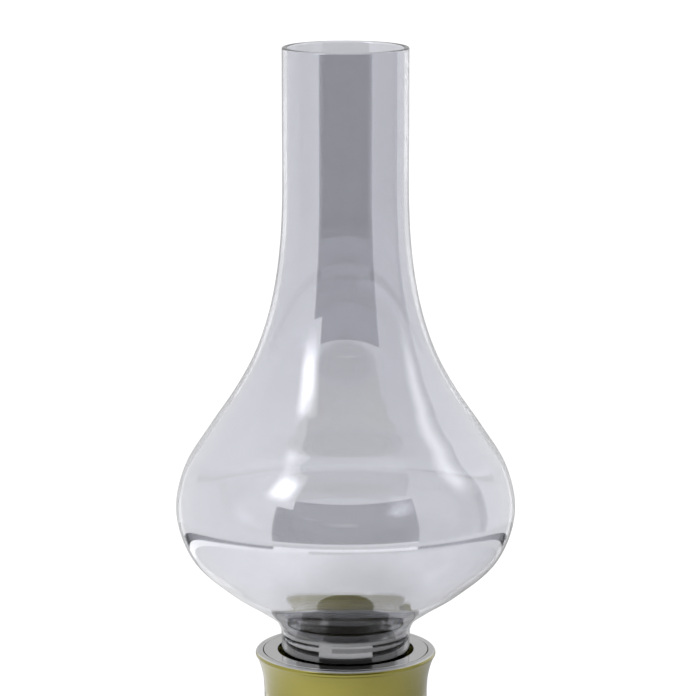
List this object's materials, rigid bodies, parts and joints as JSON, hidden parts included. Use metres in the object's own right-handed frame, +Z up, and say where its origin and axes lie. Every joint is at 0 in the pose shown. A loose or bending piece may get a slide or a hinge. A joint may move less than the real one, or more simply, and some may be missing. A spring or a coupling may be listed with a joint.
{
  "type": "oil lamp",
  "caption": "Table oil lamp: wide spun font, screwed-on wick burner with a side winder knob, polished collar ring and a tall onion-shaped smoked-glass chimney.",
  "frame": {"origin": "middle of the underside, on the table that the lamp stands on", "axes": "+Z up along the lamp's axis, +X towards the wick knob, -Y towards the front"},
  "size_m": [0.137, 0.137, 0.3793],
  "materials": {
    "smoked_glass": "clear smoked grey-lilac glass with a faint mirror coat",
    "olive_metal": "satin olive-gold lacquer",
    "polished_nickel": "polished nickel plate",
    "burner_brass": "pressed and soldered brass, lightly aged",
    "steel": "turned and blanked steel",
    "cotton_wick": "flat woven cotton",
    "base_felt": "dense dark green-grey felt",
    "cork": "pressed cork"
  },
  "bodies": {
    "font": {"felt_disc": "base_felt", "base_plate": "burner_brass", "font_shell": "olive_metal", "font_collar": "burner_brass", "collar_gasket": "cork"},
    "burner": {"burner_casing": "olive_metal", "collar_ring": "polished_nickel", "burner_body": "burner_brass", "burner_basket": "burner_brass", "chimney_seat": "burner_brass", "wick_tube": "burner_brass", "vent_tube": "burner_brass", "winder_bracket": "burner_brass", "shaft_bushing": "burner_brass", "casing_screw_1": "steel", "casing_screw_2": "steel", "casing_screw_3": "steel", "chimney_spring_1": "steel", "chimney_spring_2": "steel", "chimney_spring_3": "steel", "chimney_spring_4": "steel", "spring_rivet_1": "burner_brass", "spring_rivet_2": "burner_brass", "spring_rivet_3": "burner_brass", "spring_rivet_4": "burner_brass"},
    "winder": {"winder_shaft": "steel", "shaft_clip": "steel", "star_wheel_left": "steel", "star_wheel_right": "steel", "wick_knob": "olive_metal", "knob_screw": "steel"},
    "wick": {"wick": "cotton_wick"},
    "dome": {"flame_dome": "burner_brass"},
    "chimney": {"chimney": "smoked_glass"}
  },
  "joints": [
    {"name": "burner_lift", "type": "slide", "parent": "font", "child": "burner", "axis": [0, 0, 1], "range_m": [0, 0.13]},
    {"name": "wick_knob_turn", "type": "hinge", "parent": "burner", "child": "winder", "pos_m": [0, 0.0066, 0.098], "axis": [-1, 0, 0], "range_deg": [-120, 90]},
    {"name": "wick_raise", "type": "slide", "parent": "burner", "child": "wick", "axis": [0, 0, 1], "range_m": [-0.0106, 0.008]},
    {"name": "dome_lift", "type": "slide", "parent": "burner", "child": "dome", "axis": [0, 0, 1], "range_m": [0, 0.03]},
    {"name": "chimney_lift", "type": "slide", "parent": "burner", "child": "chimney", "axis": [0, 0, 1], "range_m": [0, 0.06]}
  ],
  "couplings": [
    {"joint": "wick_raise", "follows": "wick_knob_turn", "m_per_rad": 0.005}
  ]
}
